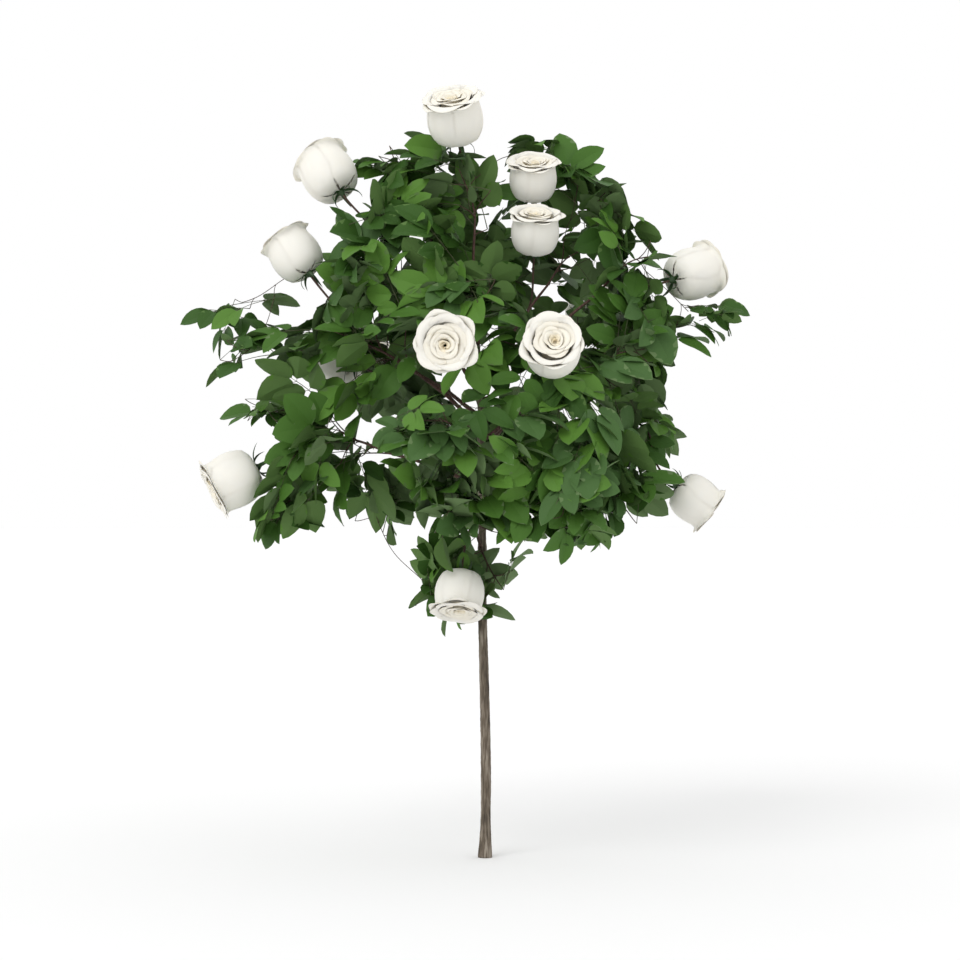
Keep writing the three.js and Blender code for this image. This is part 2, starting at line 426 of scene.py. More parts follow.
class PetalTone(Enum):
    """The whites of a bloom, from its outer petals to its heart."""

    OUTER = (0.880, 0.845, 0.755)
    INNER = (0.885, 0.830, 0.700)
    HEART = (0.890, 0.800, 0.610)

    def finish(self) -> PetalFinish:
        """Returns the finish of this tone."""
        return PetalFinish(f"petal_{self.name.lower()}", self.value)


# ------------------------ mesh building
class Edge(Enum):
    """What an edge between two vertices of the same mark is."""

    NONE = 0
    RIM = 1
    CREASE = 2


def stand(name: str, data: bpy.types.ID) -> bpy.types.Object:
    """Puts a mesh, a light or a camera in the scene as an object."""
    thing = bpy.data.objects.new(name, data)
    bpy.context.scene.collection.objects.link(thing)
    return thing


@dataclass
class Patch:
    """A block of vertices with its faces, and the UV and edge mark of each vertex."""

    vertices: Array
    faces: list[Array]
    materials: list[Array]
    uv: Array
    marks: Array


@dataclass
class Batch:
    """Collects patches and makes one object of them."""

    patches: list[Patch] = field(default_factory=list)

    def add(self, patch: Patch) -> None:
        """Adds one patch."""
        self.patches.append(patch)

    def build(
        self, name: str, materials: list[bpy.types.Material], uv_name: str = "skin"
    ) -> bpy.types.Object:
        """Makes the object.

        Args:
            name: the object's name.
            materials: its materials, in the order of the patches' material numbers.
            uv_name: the name of its UV map.

        Returns:
            The object, smoothly shaded, with sharp edges where marks say so.
        """
        starts = np.cumsum([0] + [len(patch.vertices) for patch in self.patches[:-1]])
        blocks = [
            (block + start, number)
            for patch, start in zip(self.patches, starts)
            for block, number in zip(patch.faces, patch.materials)
        ]
        corners = np.concatenate([block.ravel() for block, _ in blocks])
        sizes = np.concatenate([np.full(len(block), block.shape[1]) for block, _ in blocks])
        mesh = bpy.data.meshes.new(name)
        mesh.vertices.add(starts[-1] + len(self.patches[-1].vertices))
        mesh.vertices.foreach_set("co", np.concatenate([p.vertices for p in self.patches]).ravel())
        mesh.loops.add(len(corners))
        mesh.loops.foreach_set("vertex_index", corners.astype(np.int32))
        mesh.polygons.add(len(sizes))
        mesh.polygons.foreach_set("loop_start", (np.cumsum(sizes) - sizes).astype(np.int32))
        mesh.polygons.foreach_set("material_index", np.concatenate([n for _, n in blocks]).astype(np.int32))
        mesh.update(calc_edges=True)
        layer = mesh.uv_layers.new(name=uv_name)
        uv = np.concatenate([patch.uv for patch in self.patches])
        layer.data.foreach_set("uv", uv[corners].astype(np.float32).ravel())
        marks = np.concatenate([patch.marks for patch in self.patches])
        ends = np.zeros(len(mesh.edges) * 2, np.int32)
        mesh.edges.foreach_get("vertices", ends)
        first, second = marks[ends[::2]], marks[ends[1::2]]
        sharp = mesh.attributes.new("sharp_edge", "BOOLEAN", "EDGE")
        sharp.data.foreach_set("value", (first == second) & (first > 0))
        mesh.validate()
        mesh.shade_smooth()
        for material in materials:
            mesh.materials.append(material)
        return stand(name, mesh)


def grid_quads(index: Array) -> Array:
    """Returns the quads of a grid of vertex numbers, counter-clockwise as columns go right and rows go up."""
    corners = [index[:-1, :-1], index[:-1, 1:], index[1:, 1:], index[1:, :-1]]
    return np.stack(corners, axis=-1).reshape(-1, 4)


def sheets(points: Array, thickness: float, skins: tuple, crease: bool = False) -> Patch:
    """Gives thin sheets a body of two skins that meet along the rim.

    A sheet's normal is the cross product of its grid's two directions. The upper skin stands half the
    thickness along the normal and the lower one half against it, and the rim's vertices belong to both.

    Args:
        points: the sheets' middle surfaces, (count, rows, columns, 3).
        thickness: in metres.
        skins: the material numbers of the upper and the lower skins, each a number or one for each sheet.
        crease: whether the middle column is a sharp fold.

    Returns:
        One patch of all the sheets.
    """
    count, rows, columns, _ = points.shape
    normal = unit(np.cross(np.gradient(points, axis=2), np.gradient(points, axis=1)))
    inner = np.zeros((rows, columns), bool)
    inner[1:-1, 1:-1] = True
    upper = points + inner[..., None] * normal * (thickness / 2)
    lower = (points - normal * (thickness / 2))[:, inner]
    vertices = np.concatenate([upper.reshape(count, -1, 3), lower], axis=1)
    above = np.arange(rows * columns).reshape(rows, columns)
    below = above.copy()
    below[inner] = rows * columns + np.arange(inner.sum())
    shift = (np.arange(count) * vertices.shape[1])[:, None, None]
    top, bottom = grid_quads(above)[None] + shift, grid_quads(below)[None, :, ::-1] + shift
    v, u = np.meshgrid(np.linspace(0, 1, rows), np.linspace(0, 1, columns), indexing="ij")
    uv = np.stack([u, v], axis=-1)
    marks = np.where(inner, Edge.NONE.value, Edge.RIM.value)
    if crease:
        marks[1:-1, columns // 2] = Edge.CREASE.value
    numbers = [np.broadcast_to(np.asarray(skin), (count,)).repeat(top.shape[1]) for skin in skins]
    return Patch(
        vertices.reshape(-1, 3),
        [top.reshape(-1, 4), bottom.reshape(-1, 4)],
        numbers,
        np.tile(np.concatenate([uv.reshape(-1, 2), uv[inner]]), (count, 1)),
        np.tile(np.concatenate([marks.ravel(), marks[inner]]), count),
    )


def tubes(lines: Array, radii: Array, sides: int, material: int = 0) -> Patch:
    """Makes round limbs along lines, closed by a flat foot and a low point at the tip.

    Each ring is a circle across its line: point + radius * (cos a * side + sin a * other). The side axis is
    carried from ring to ring, less its part along the new tangent, so that the limb doesn't twist.

    Args:
        lines: the limbs' middles, (count, rings, 3).
        radii: (count, rings), or (count, rings, sides) where a limb isn't round.
        sides: vertices in a ring.
        material: the material number.

    Returns:
        One patch of all the limbs.
    """
    count, rings, _ = lines.shape
    tangents = unit(np.gradient(lines, axis=1))
    side = square_to(tangents[:, 0])
    axes = [side]
    for ring in range(1, rings):
        side = unit(side - dot(side, tangents[:, ring]) * tangents[:, ring])
        axes.append(side)
    side = np.stack(axes, axis=1)[:, :, None]
    other = np.cross(tangents[:, :, None], side)
    angle = np.linspace(0, 2 * np.pi, sides, endpoint=False)[:, None]
    if radii.ndim == 2:
        radii = np.repeat(radii[..., None], sides, axis=2)
    skin = lines[:, :, None] + radii[..., None] * (np.cos(angle) * side + np.sin(angle) * other)
    foot = lines[:, :1]
    tip = lines[:, -1:] + tangents[:, -1:] * radii[:, -1:, :1] * 0.7
    vertices = np.concatenate([skin.reshape(count, -1, 3), foot, tip], axis=1)
    index = np.arange(rings * sides).reshape(rings, sides)
    index = np.concatenate([index, index[:, :1]], axis=1)
    size = vertices.shape[1]
    shift = (np.arange(count) * size)[:, None, None]
    walls = grid_quads(index)[None] + shift
    centre = np.full(sides, size - 2)
    base = np.stack([centre, index[0, 1:], index[0, :-1]], axis=1)[None] + shift
    ends = np.stack([centre + 1, index[-1, :-1], index[-1, 1:]], axis=1)[None] + shift
    round_it, along_it = np.meshgrid(np.linspace(0, 1, sides), np.linspace(0, 1, rings))
    uv = np.concatenate([np.stack([round_it, along_it], axis=-1).reshape(-1, 2), [[0.5, 0.0], [0.5, 1.0]]])
    faces = [walls.reshape(-1, 4), base.reshape(-1, 3), ends.reshape(-1, 3)]
    return Patch(
        vertices.reshape(-1, 3),
        faces,
        [np.full(len(block), material) for block in faces],
        np.tile(uv, (count, 1)),
        np.zeros(count * size, int),
    )


def keep(piece: bpy.types.Object, slot: str, *nodes: str) -> None:
    """Rides a finished piece on the plant's body, in place of its nodes."""
    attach(piece, BODY)
    if nodes:
        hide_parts(*nodes)
    log.info("%s: %d faces", piece.name, len(piece.data.polygons))


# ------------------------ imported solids
class Solid:
    """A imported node's triangles."""

    def __init__(self, name: str) -> None:
        """Reads the node.

        Args:
            name: the node's name.
        """
        self.name = name
        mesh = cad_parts[name].data
        points = np.zeros(len(mesh.vertices) * 3, np.float32)
        mesh.vertices.foreach_get("co", points)
        self.points = points.reshape(-1, 3).astype(float)
        mesh.calc_loop_triangles()
        triangles = np.zeros(len(mesh.loop_triangles) * 3, np.int32)
        mesh.loop_triangles.foreach_get("vertices", triangles)
        self.triangles = triangles.reshape(-1, 3)

    def section(self, origin: Array, normal: Array) -> tuple[Array, float]:
        """Cuts the solid with a plane.

        Each edge whose ends lie on opposite sides, at heights a and b, meets it at the share a / (a - b).

        Args:
            origin: a point on the plane.
            normal: the plane's unit normal.

        Returns:
            The middle of the cut, and its mean radius.
        """
        corners = self.points[self.triangles]
        first, second = corners, np.roll(corners, -1, axis=1)
        a, b = (first - origin) @ normal, (second - origin) @ normal
        crossing = a * b < 0
        share = (a[crossing] / (a[crossing] - b[crossing]))[:, None]
        points = first[crossing] * (1 - share) + second[crossing] * share
        middle = (points.max(axis=0) + points.min(axis=0)) / 2
        return middle, float(np.linalg.norm(points - middle, axis=1).mean())


@dataclass
class Limb:
    """A woody limb."""

    line: Array  # its points, from base to tip
    radius: Array  # at each of them
    used: float = 1.0  # the share of it, from the base, that bears leaves or shoots

    @property
    def tangents(self) -> Array:
        """The line's unit directions."""
        return unit(np.gradient(self.line, axis=0))

    @property
    def length(self) -> float:
        """The line's length."""
        return float(np.linalg.norm(np.diff(self.line, axis=0), axis=1).sum())

    def shortened(self) -> "Limb":
        """Returns the limb as far as its last leaf, with as many points."""
        count = len(self.line)
        wanted = np.linspace(0, self.used, count) * (count - 1)
        whole = np.column_stack([self.line, self.radius])
        cut = np.stack([np.interp(wanted, np.arange(count), column) for column in whole.T], axis=1)
        return Limb(cut[:, :3], cut[:, 3])


class Mass(Solid):
    """A packed mass of leaves, as the space that its leaves may fill."""

    FAR = 2.0  # metres, from where the outline is looked for

    def __init__(self, name: str) -> None:
        """Reads the node and measures it."""
        super().__init__(name)
        self.tree = BVHTree.FromPolygons(self.points.tolist(), self.triangles.tolist())
        low, high = self.points.min(axis=0), self.points.max(axis=0)
        self.centre = (low + high) / 2
        self.half = (high - low) / 2

    @property
    def label(self) -> str:
        """The name without its kind."""
        return self.name.removeprefix("leaves_")

    @property
    def spread(self) -> float:
        """The sum of the three middle sections' half areas, which the number of leaves follows."""
        x, y, z = self.half
        return float(x * y + y * z + z * x)

    def reach(self, direction: Array) -> float:
        """Returns how far the outline lies from the middle in a unit direction."""
        start = self.centre + direction * self.FAR
        hit = self.tree.ray_cast(Vector(start), Vector(-direction), self.FAR)
        return self.FAR - hit[3] if hit[0] is not None else float(self.half.min())

    def distances(self, point: Array) -> tuple[float, float]:
        """Returns how far from the middle a point lies, and how far the outline does in its direction."""
        offset = point - self.centre
        length = float(np.linalg.norm(offset))
        return length, self.reach(offset / max(length, 1e-9))

    def share(self, point: Array) -> float:
        """Returns how far out a point lies: 0 at the middle and 1 on the outline."""
        length, outline = self.distances(point)
        return length / outline

    def beyond(self, point: Array) -> float:
        """Returns how many metres a point lies outside the outline, or less than 0 inside it."""
        length, outline = self.distances(point)
        return length - outline

    def way(
        self, heading: Array, spread: float, scatter: tuple[float, float], depth: float, rng: Rng
    ) -> list[Array]:
        """Picks the end of a branch's way: a point near the middle, then one towards the far side.

        Args:
            heading: the unit direction in which the branch comes to the middle.
            spread: how much it turns away from the plant's upright axis.
            scatter: how much its direction and the point near the middle vary.
            depth: where it ends, from the middle at 0 to the outline at 1.
            rng: the source of what varies.

        Returns:
            The two points.
        """
        away = unit(self.centre * [1, 1, 0])
        outward = unit(heading + spread * away + rng.normal(0, scatter[0], 3))
        passing = self.centre + rng.normal(0, scatter[1], 3) * self.half
        return [passing, self.centre + outward * self.reach(outward) * depth]


class Cup(Solid):
    """A packed bloom, as the place of its cup."""

    RIM_DEPTH = 0.1  # how deep the dish in the solid's face is, against the cup's height
    HEIGHT = 92 * MM  # of a cup of scale 1
    NEAREST = 1e-5  # metres, within which corners are one
    AROUND = 9  # the fewest triangles that meet in the middle of the face

    def __init__(self, name: str) -> None:
        """Reads the node and finds its cup.

        The middle of the face is the corner where the most triangles meet. The ring of its neighbours is
        the rim, whose middle lies on the cup's axis, at the cup's height.
        """
        super().__init__(name)
        keys, place = np.unique(np.round(self.points / self.NEAREST), axis=0, return_inverse=True)
        corners = place.reshape(-1)[self.triangles]
        meeting = np.bincount(corners.ravel(), minlength=len(keys))
        best = []
        for corner in np.flatnonzero(meeting >= self.AROUND):
            ring = np.unique(corners[(corners == corner).any(axis=1)])
            ring = ring[ring != corner]
            points = keys[ring] * self.NEAREST
            middle = points.mean(axis=0)
            best.append((np.linalg.norm(points - middle, axis=1).mean(), corner, middle))
        _, corner, rim = max(best, key=lambda found: found[0])
        depth = rim - keys[corner] * self.NEAREST
        self.axis = unit(depth)
        self.scale = float(np.linalg.norm(depth)) / (self.RIM_DEPTH * self.HEIGHT)
        self.base = rim - self.axis * self.HEIGHT * self.scale

    @property
    def middle(self) -> Array:
        """The middle of the cup."""
        return self.base + self.axis * self.HEIGHT * self.scale / 2


# ------------------------ stem and boughs
def fissures(rings: int, sides: int, length: float, rng: Rng) -> Array:
    """Works out the relief of bark that is split lengthwise.

    It is 1 minus the size of a sum of waves. Each wave goes round the limb a whole number of times and
    climbs it slowly, so the places where the sum passes through 0 are long, narrow ridges.

    Args:
        rings: rows, along the limb.
        sides: columns, round it.
        length: the limb's length, in metres.
        rng: the source of the waves' sizes and phases.

    Returns:
        The relief, from 0 to 1, (rings, sides).
    """
    angle = np.linspace(0, 2 * np.pi, sides, endpoint=False)[None, None]
    along = np.linspace(0, length, rings)[None, :, None]
    around = rng.integers(3, 15, (18, 1, 1))
    climb = rng.uniform(-90, 90, (18, 1, 1)) * 2
    phase = rng.uniform(0, 2 * np.pi, (18, 1, 1))
    total = np.cos(around * angle + climb * along + phase).sum(axis=0) / 3.0
    return 1 - np.clip(np.abs(total), 0, 1)


@dataclass
class Stem:
    """The stem, from the cut at the ground to the fork."""

    node: str = "stem"
    rings: int = 300
    sides: int = 44
    relief: float = 0.55 * MM
    collar: float = 1.1 * MM
    collar_height: float = 9 * MM

    def read(self) -> Limb:
        """Reads the stem's line and radius from its packed rings.

        Returns:
            The stem as a limb.
        """
        points = Solid(self.node).points
        levels = np.unique(np.round(points[:, 2], 4))
        rings = [points[np.abs(points[:, 2] - level) < 1e-4] for level in levels]
        middles = np.array([(ring.max(axis=0) + ring.min(axis=0)) / 2 for ring in rings])
        widths = np.array([np.linalg.norm((r - m)[:, :2], axis=1).max() for r, m in zip(rings, middles)])
        heights = np.linspace(levels[0], levels[-1], self.rings)
        return Limb(eased(heights, levels, middles), eased(heights, levels, widths))

    def build(self, stem: Limb, forks: Array, rng: Rng) -> None:
        """Makes the bark of the stem.

        Args:
            stem: the stem's line and radius.
            forks: the heights at which boughs leave it.
            rng: the source of the relief.
        """
        heights = stem.line[:, 2]
        relief = fissures(self.rings, self.sides, float(heights[-1]), rng) * self.relief
        fade = smooth(heights, 0, 0.004)[:, None]
        swell = np.exp(-(((heights[:, None] - forks[None]) / self.collar_height) ** 2)).sum(axis=1)
        radius = stem.radius[:, None] - self.relief / 2 + relief * fade
        radius = radius + np.minimum(swell, 1.0)[:, None] * self.collar
        bark = tubes(stem.line[None], radius[None], self.sides)
        bark.vertices[:, 2] = np.maximum(bark.vertices[:, 2], 0)
        keep(Batch([bark]).build("stem_bark", [STEM_BARK.make()]), "stem_bark", self.node)


@dataclass
class Boughs:
    """The main boughs, which leave the stem and run on through their masses to the tip."""

    prefix: str = "bough_"
    sections: int = 7
    rings: int = 120
    sides: int = 12
    relief: float = 0.2 * MM
    knot: float = 0.35 * MM
    knot_spacing: float = 0.038
    tip_radius: float = 0.9 * MM
    root_flare: float = 0.5  # how much thicker a bough is where it leaves the stem
    flare_length: float = 0.012
    cuts: tuple[float, float] = (0.06, 0.94)  # the shares of a solid between which it is measured
    spread: float = 0.35
    scatter: tuple[float, float] = (0.08, 0.1)
    depth: float = 0.62  # where a bough ends, from its mass's middle at 0 to the outline at 1

    def read(self, node: str, stem: Limb, mass: Mass, rng: Rng) -> Limb:
        """Finds a bough's line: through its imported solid, then on to the far side of its mass.

        Args:
            node: the bough's node.
            stem: the stem that it leaves.
            mass: the mass that it feeds.
            rng: the source of its slight bends.

        Returns:
            The bough as a limb.
        """
        solid = Solid(node)
        middle = solid.points.mean(axis=0)
        along = np.linalg.svd(solid.points - middle, full_matrices=False)[2][0]
        along = along * np.sign(along @ (mass.centre - middle))
        heights = (solid.points - middle) @ along
        shares = np.linspace(*self.cuts, self.sections)
        levels = heights.min() + np.ptp(heights) * shares
        cuts = [solid.section(middle + along * level, along) for level in levels]
        points = np.array([cut[0] for cut in cuts])
        widths = np.array([cut[1] for cut in cuts])
        first, slope = points[0], unit(points[1] - points[0])
        flat = np.linalg.norm((first - stem.line)[:, :2], axis=1).min()
        height = first[2] - flat * slope[2] / max(float(np.linalg.norm(slope[:2])), 0.35)
        root = stem.line[np.abs(stem.line[:, 2] - height).argmin()]
        heading = unit(mass.centre - points[-1])
        way = mass.way(heading, self.spread, self.scatter, self.depth, rng)
        line = line_through(np.concatenate([[root], points, way]), self.rings)
        travelled = np.linalg.norm(line - root, axis=1)
        radius = np.interp(travelled, np.linalg.norm(points - root, axis=1), widths)
        inside = smooth(travelled, float(np.linalg.norm(points[-1] - root)), float(travelled[-1]))
        return Limb(line, radius * (1 - inside) + self.tip_radius * inside)

    def build(self, node: str, limb: Limb, rng: Rng) -> None:
        """Makes the bark of one bough, with a slight knot where each leaf once grew.

        Args:
            node: the bough's node.
            limb: its line and radius.
            rng: the source of the relief.
        """
        along = np.linspace(0, limb.length, self.rings)
        relief = fissures(self.rings, self.sides, limb.length, rng) * self.relief
        beat = np.abs((along / self.knot_spacing + rng.uniform()) % 1 - 0.5) * 2
        knots = smooth(beat, 0.84, 1.0) * self.knot
        flare = 1 + self.root_flare * np.exp(-along / self.flare_length)
        radius = (limb.radius * flare + knots)[:, None] - self.relief / 2 + relief
        bark = tubes(limb.line[None], radius[None], self.sides)
        keep(Batch([bark]).build(f"{node}_bark", [BOUGH_BARK.make()]), "bough_bark", node)


# ------------------------ foliage
class Leaf(NamedTuple):
    """The place of a compound leaf."""

    base: Array
    along: Array  # the unit direction that it points in
    facing: Array  # the unit normal of its upper side
    size: float  # against the usual one


@dataclass
class LeafShape:
    """A compound leaf: an arching stalk with pairs of oval leaflets and one at its tip."""

    stalk: float = 0.078
    leaflet: float = 0.070  # the length of the leaflet at the tip
    broad: tuple[float, float] = (0.50, 0.78)  # a leaflet's width against its length
    columns: int = 5
    thickness: float = 0.5 * MM
    stalk_radius: float = 0.75 * MM
    stalk_rings: int = 6
    pairs: tuple[Triple, ...] = (
        (0.94, 0.92, 0.95),  # share of the stalk, size against the tip leaflet, angle from the stalk
        (0.56, 0.84, 1.1),
        (0.24, 0.70, 1.2),
    )
    pair_odds: tuple[float, ...] = (0.28, 0.56, 0.16)
    scatter: float = 0.36  # how much the leaflets of one leaf differ in the way they face
    sink: float = 0.09  # how much they hang

    def outline(self) -> tuple[Array, Array]:
        """Works out a leaflet's outline.

        The width at a share v of the length goes as v^0.6 * (1 - v)^0.78, which is round at the base and
        comes to a point at the tip.

        Returns:
            The shares of the length at the rows, and half the width at each, at most 0.5.
        """
        share = np.array([0.0, 0.07, 0.2, 0.36, 0.54, 0.72, 0.88, 1.0])
        width = share**0.6 * (1 - share) ** 0.78
        width = 0.5 * width / width.max()
        width[0], width[-1] = 0.03, 0.006
        return share, width

    def leaflets(self, base: Array, along: Array, facing: Array, length: Array, rng: Rng) -> Array:
        """Works out the surfaces of single leaflets.

        A leaflet bends down along an arc, its halves rise from the midrib like a shallow V, and its rim
        waves.

        Args:
            base: where each starts, (count, 3).
            along: the unit direction of each.
            facing: the unit normal of each.
            length: the length of each.
            rng: the source of their differences.

        Returns:
            The surfaces, (count, rows, columns, 3).
        """
        count = len(base)
        share, half = self.outline()
        u = np.linspace(-1, 1, self.columns)[None, None]
        v = share[None, :, None]
        draw = partial(draws, rng, count)
        size = length[:, None, None]
        x = u * half[None, :, None] * size * draw(*self.broad)
        bend, fold, wave = draw(0.15, 0.75), draw(0.08, 0.34), draw(0.2, 1.0)
        forward = size * np.sin(bend * v) / bend + 0 * x
        down = size * (1 - np.cos(bend * v)) / bend
        ripple = 0.02 * size * wave * np.sin(9.0 * v + draw(0, 6.3)) * u**2 * np.sign(u + 1e-9)
        height = fold * np.abs(x) - down + ripple
        side = np.cross(along, facing)
        parts = ((forward, along), (x, side), (height, facing))
        return base[:, None, None] + sum(values[..., None] * axis[:, None, None] for values, axis in parts)

    def build(self, leaves: list[Leaf], rng: Rng) -> tuple[Patch, Patch, Patch]:
        """Makes the meshes of a mass's leaves.

        The stalk of a leaf leaves its twig along the leaf's direction and sinks with the square of the
        distance.

        Args:
            leaves: the leaves' places.
            rng: the source of their differences.

        Returns:
            The leaflets, the stalks and the leaflets' own short stalks.
        """
        base, along, facing, size = (np.array(column) for column in zip(*leaves))
        size = size[:, None]
        count = len(base)
        t = np.linspace(0, 1, self.stalk_rings)[None, :, None]
        sag = rng.uniform(0.0, 0.2, (count, 1, 1))
        reach = (self.stalk * size)[:, None]
        line = base[:, None] + along[:, None] * reach * t - UP * reach * sag * t**2
        radius = self.stalk_radius * size * np.linspace(1.15, 0.7, self.stalk_rings)[None]
        pairs = 1 + rng.choice(len(self.pairs), count, p=self.pair_odds)
        tones = rng.choice(len(Tone), count, p=[tone.share for tone in Tone])
        parts = [(line[:, -1], unit(line[:, -1] - line[:, -2]), size[:, 0] * self.leaflet, np.arange(count))]
        for number, (share, smaller, angle) in enumerate(self.pairs):
            has = np.flatnonzero(pairs > number)
            here, ahead = point_at(line[has], share)
            sideways = unit(np.cross(ahead, facing[has]))
            for sign in (-1, 1):
                swing = sign * (angle + rng.normal(0, 0.1, len(has)))[:, None]
                direction = unit(ahead * np.cos(swing) + sideways * np.sin(swing))
                length = size[has, 0] * self.leaflet * smaller * rng.uniform(0.86, 1.08, len(has))
                parts.append((here, direction, length, has))
        start, direction, length, owner = (np.concatenate(column) for column in zip(*parts))
        direction = unit(direction - UP * self.sink * rng.uniform(0, 2, (len(owner), 1)))
        normal = unit(facing[owner] + rng.normal(0, self.scatter, (len(owner), 3)))
        normal = unit(normal - dot(normal, direction) * direction)
        short = (0.0035 + 0.05 * length)[:, None]
        foot = start + direction * short
        surfaces = self.leaflets(foot, direction, normal, length, rng)
        skins = (tones[owner], len(Tone) + tones[owner] % 2)
        links = np.stack([start, start + direction * short * 0.5, foot + direction * short * 0.3], axis=1)
        thin = np.full((len(links), 3), self.stalk_radius * 0.6)
        return (
            sheets(surfaces, self.thickness, skins, crease=True),
            tubes(line, radius, 5),
            tubes(links, thin, 4),
        )


@dataclass
class Foliage:
    """Grows the twigs and leaves of every mass from the limbs."""

    wood: list[Limb]
    cups: list[Cup]
    masses: list[Mass]
    leaf: LeafShape = field(default_factory=LeafShape)
    leaves_per_area: float = 830.0  # leaves for each square metre of a mass's spread
    leaves_per_shoot: float = 3.0
    leaf_gap: float = 0.036
    deepest: float = 0.34  # where shoots end, from a mass's middle at 0 to its outline at 1
    shallowest: float = 0.86
    tries: int = 20
    crowd: float = 0.062  # the room that a leaf likes to have round its middle
    slack: float = 0.020  # how far the tip of a leaf may go outside the outline of a mass
    side_slack: float = 0.030  # how far the tips of its side leaflets may go
    cup_radius: float = 0.05  # of a bloom, to the leaves
    tip_room: float = 0.016  # between a bloom and the tip of a leaf
    middle_room: float = 0.026  # between a bloom and the middle of a leaf
    middle: float = 0.65  # where the middle of a leaf is, as a share of its length
    crowd_weight: float = 2.0  # how much room counts for, against closeness to the wish
    sparser: float = 0.7  # how much fewer leaves the outermost masses have
    sparse_reach: tuple[float, float] = (0.26, 0.40)  # where that starts and is full, in metres from the axis
    smaller: float = 0.2  # how much smaller their leaves are
    small_reach: tuple[float, float] = (0.20, 0.44)
    near: float = 1.25  # up to where a limb bears shoots, with a mass's outline at 1
    spread: float = 0.3
    scatter: tuple[float, float] = (0.06, 0.08)
    depth: float = 0.7  # where a branch ends, from a mass's middle at 0 to the outline at 1
    # A leaf's share of its size and the scatter of its directions, from the first attempt to the last.
    attempts: tuple[tuple[float, float], ...] = (
        (1.0, 0.5),
        (0.93, 0.9),
        (0.84, 1.4),
        (0.72, 2.2),
    )
    twig_rings: int = 10
    spine_rings: int = 22
    spine_radius: float = 2.0 * MM
    shoot_radius: float = 1.45 * MM
    tip_radius: float = 0.75 * MM
    twigs: list[Limb] = field(default_factory=list)
    middles: list[Array] = field(default_factory=list)

    @property
    def heart(self) -> Array:
        """The middle of the crown."""
        return np.mean([mass.centre for mass in self.masses], axis=0)

    def nearest(self, target: Array) -> tuple[Array, Array, float]:
        """Picks the point on the wood from which a limb would grow to a target.

        Args:
            target: where the limb should go.

        Returns:
            The point, the wood's direction there and its radius.
        """
        line = np.concatenate([limb.line for limb in self.wood])
        tangents = np.concatenate([limb.tangents for limb in self.wood])
        radius = np.concatenate([limb.radius for limb in self.wood])
        best, _ = best_start(line, tangents, target, cost=1.6, favour=0.6)
        return line[best], tangents[best], float(radius[best])

    def spine(self, mass: Mass, rng: Rng) -> Limb:
        """Grows a branch into a mass that no main bough feeds, from the nearest wood through its middle.

        Args:
            mass: the mass.
            rng: the source of slight bends.

        Returns:
            The branch.
        """
        start, lead, radius = self.nearest(mass.centre)
        heading = unit(mass.centre - start)
        span = float(np.linalg.norm(mass.centre - start))
        bend = start + unit(lead + 0.8 * heading) * span * 0.4
        way = mass.way(heading, self.spread, self.scatter, self.depth, rng)
        line = line_through(np.array([start, bend, *way]), self.spine_rings)
        thick = min(self.spine_radius, 0.85 * radius)
        return Limb(line, np.linspace(thick, self.tip_radius, self.spine_rings))

    def targets(self, mass: Mass, count: int, rng: Rng) -> Array:
        """Spreads the ends of shoots evenly through the outer part of a mass.

        The directions step round by the golden angle while their height goes evenly from one end to the
        other.

        Args:
            mass: the mass.
            count: how many.
            rng: the source of their first turn and of their depths.

        Returns:
            The targets, (count, 3).
        """
        number = np.arange(count) + 0.5
        height = 1 - 2 * number / count
        turn = GOLDEN_ANGLE * number + rng.uniform(0, 2 * np.pi)
        flat = np.sqrt(1 - height**2)
        directions = np.stack([flat * np.cos(turn), flat * np.sin(turn), height], axis=1)
        directions = unit(directions * mass.half / mass.half.max() + rng.normal(0, 0.05, (count, 3)))
        depth = self.deepest + (self.shallowest - self.deepest) * rng.uniform(0, 1, count) ** 0.6
        reach = np.array([mass.reach(direction) for direction in directions])
        return mass.centre + directions * (reach * depth)[:, None]

    def shoot(self, target: Array, limb: Limb, rng: Rng) -> Limb:
        """Grows a shoot from a limb to a target: it leaves forwards and bends towards the light.

        Args:
            target: the shoot's end.
            limb: the limb that bears it.
            rng: the source of slight bends.

        Returns:
            The shoot.
        """
        best, span = best_start(limb.line, limb.tangents, target, cost=1.8, favour=1.0)
        start, forward = limb.line[best], limb.tangents[best]
        straight = unit(target - start)
        second = start + unit(0.6 * forward + 0.7 * straight) * span * 0.4
        third = target - unit(straight + 0.25 * UP + rng.normal(0, 0.12, 3)) * span * 0.3
        line = bezier(np.stack([start, second, third, target])[None], self.twig_rings)[0]
        thick = min(self.shoot_radius, 0.8 * float(limb.radius[best]))
        return Limb(line, np.linspace(thick, self.tip_radius, self.twig_rings))

    def clear(self, points: Array, room: float) -> Array:
        """Says which of the points are at least room away from every cup."""
        middles = np.array([cup.middle for cup in self.cups])
        gaps = np.linalg.norm(points[:, None] - middles[None], axis=2) - self.cup_radius
        return gaps.min(axis=1) > room

    def held(self, point: Array, slack: float) -> bool:
        """Says whether a point is inside one of the masses, or less than slack outside it."""
        near = [mass for mass in self.masses if np.all(np.abs(point - mass.centre) < mass.half + slack)]
        return any(mass.beyond(point) < slack for mass in near)

